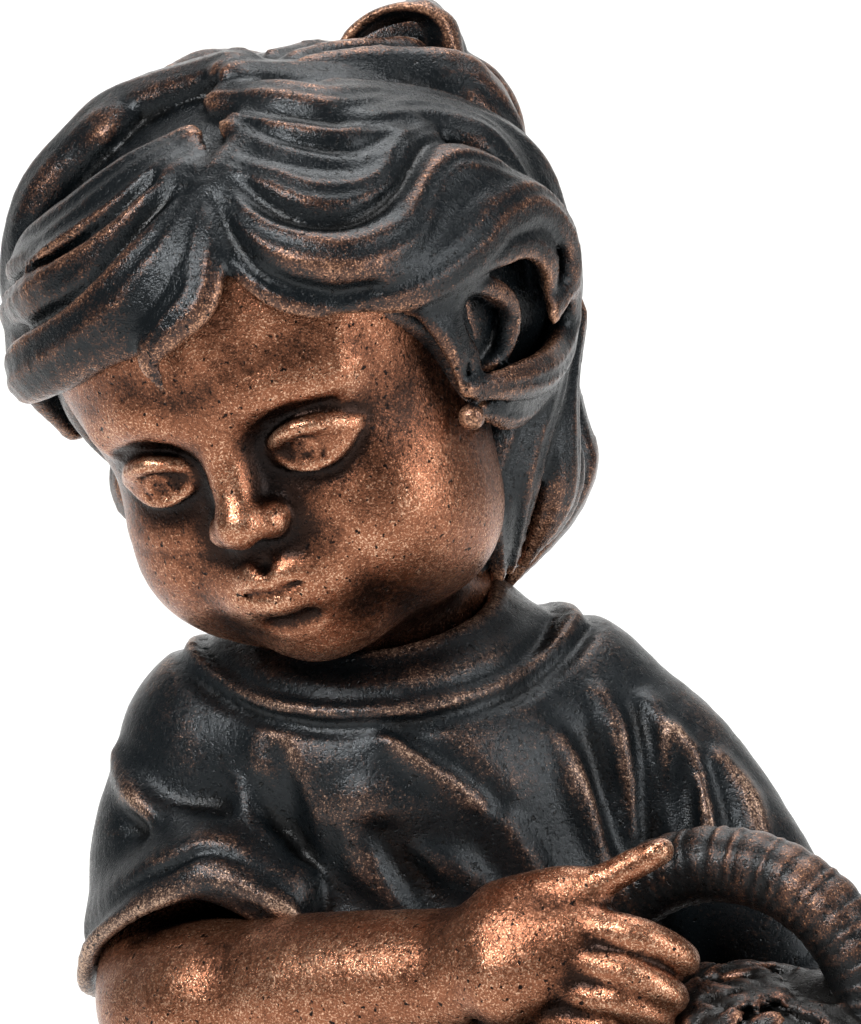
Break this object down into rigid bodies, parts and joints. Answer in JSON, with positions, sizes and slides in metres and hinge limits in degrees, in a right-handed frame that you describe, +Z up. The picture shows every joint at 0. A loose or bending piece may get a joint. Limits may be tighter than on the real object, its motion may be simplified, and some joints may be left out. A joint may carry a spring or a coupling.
{
  "type": "girl and puppy statue",
  "caption": "Garden statue of a small girl with a bow in her hair who steadies a basket with a puppy in it, on a low oval base.",
  "frame": {"origin": "centre of the underside of the base", "axes": "+Z up, -Y to the front of the figure, +X to her left, the side of the basket"},
  "size_m": [0.2518, 0.2118, 0.519],
  "materials": {
    "bronze_finish": "cast resin with a dark bronze patina, rubbed back to copper on the skin and on every raised edge"
  },
  "bodies": {
    "root": {"girl_and_puppy_statue": "bronze_finish"}
  },
  "joints": []
}
